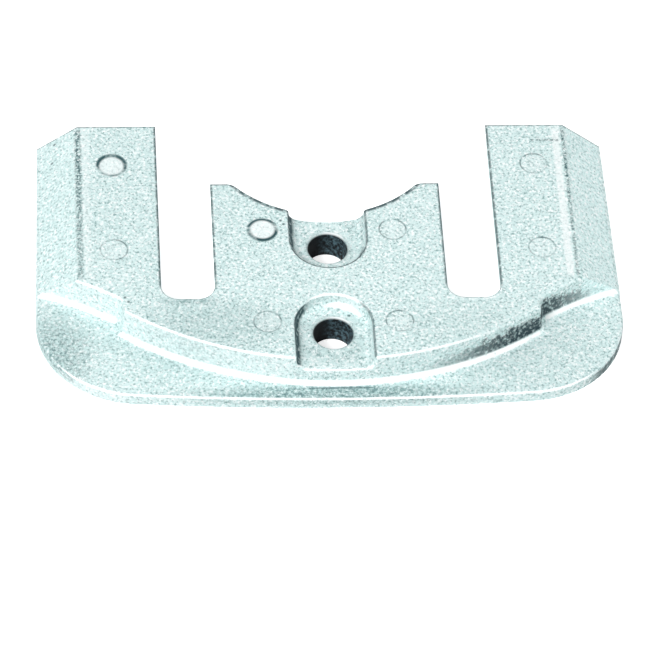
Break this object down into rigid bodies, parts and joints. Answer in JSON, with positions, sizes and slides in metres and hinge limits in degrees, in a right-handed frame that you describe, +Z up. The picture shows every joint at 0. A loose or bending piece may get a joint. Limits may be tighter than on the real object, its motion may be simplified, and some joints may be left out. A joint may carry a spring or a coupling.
{
  "type": "sacrificial anode",
  "caption": "Flat cast sacrificial anode plate with sloped ears, open-ended slots, a scalloped tongue, recessed bolt seats and a lower, rounded front flange.",
  "frame": {"origin": "middle of the underside, under the centre of the overall outline", "axes": "+X across the plate from ear to ear, +Y from the front flange towards the ears' ends, +Z up from the underside"},
  "size_m": [0.205, 0.12, 0.0162],
  "materials": {
    "cast_metal": "bare as-cast metal, pale grey with a fine dark grain"
  },
  "bodies": {
    "root": {"anode_plate": "cast_metal"}
  },
  "joints": []
}
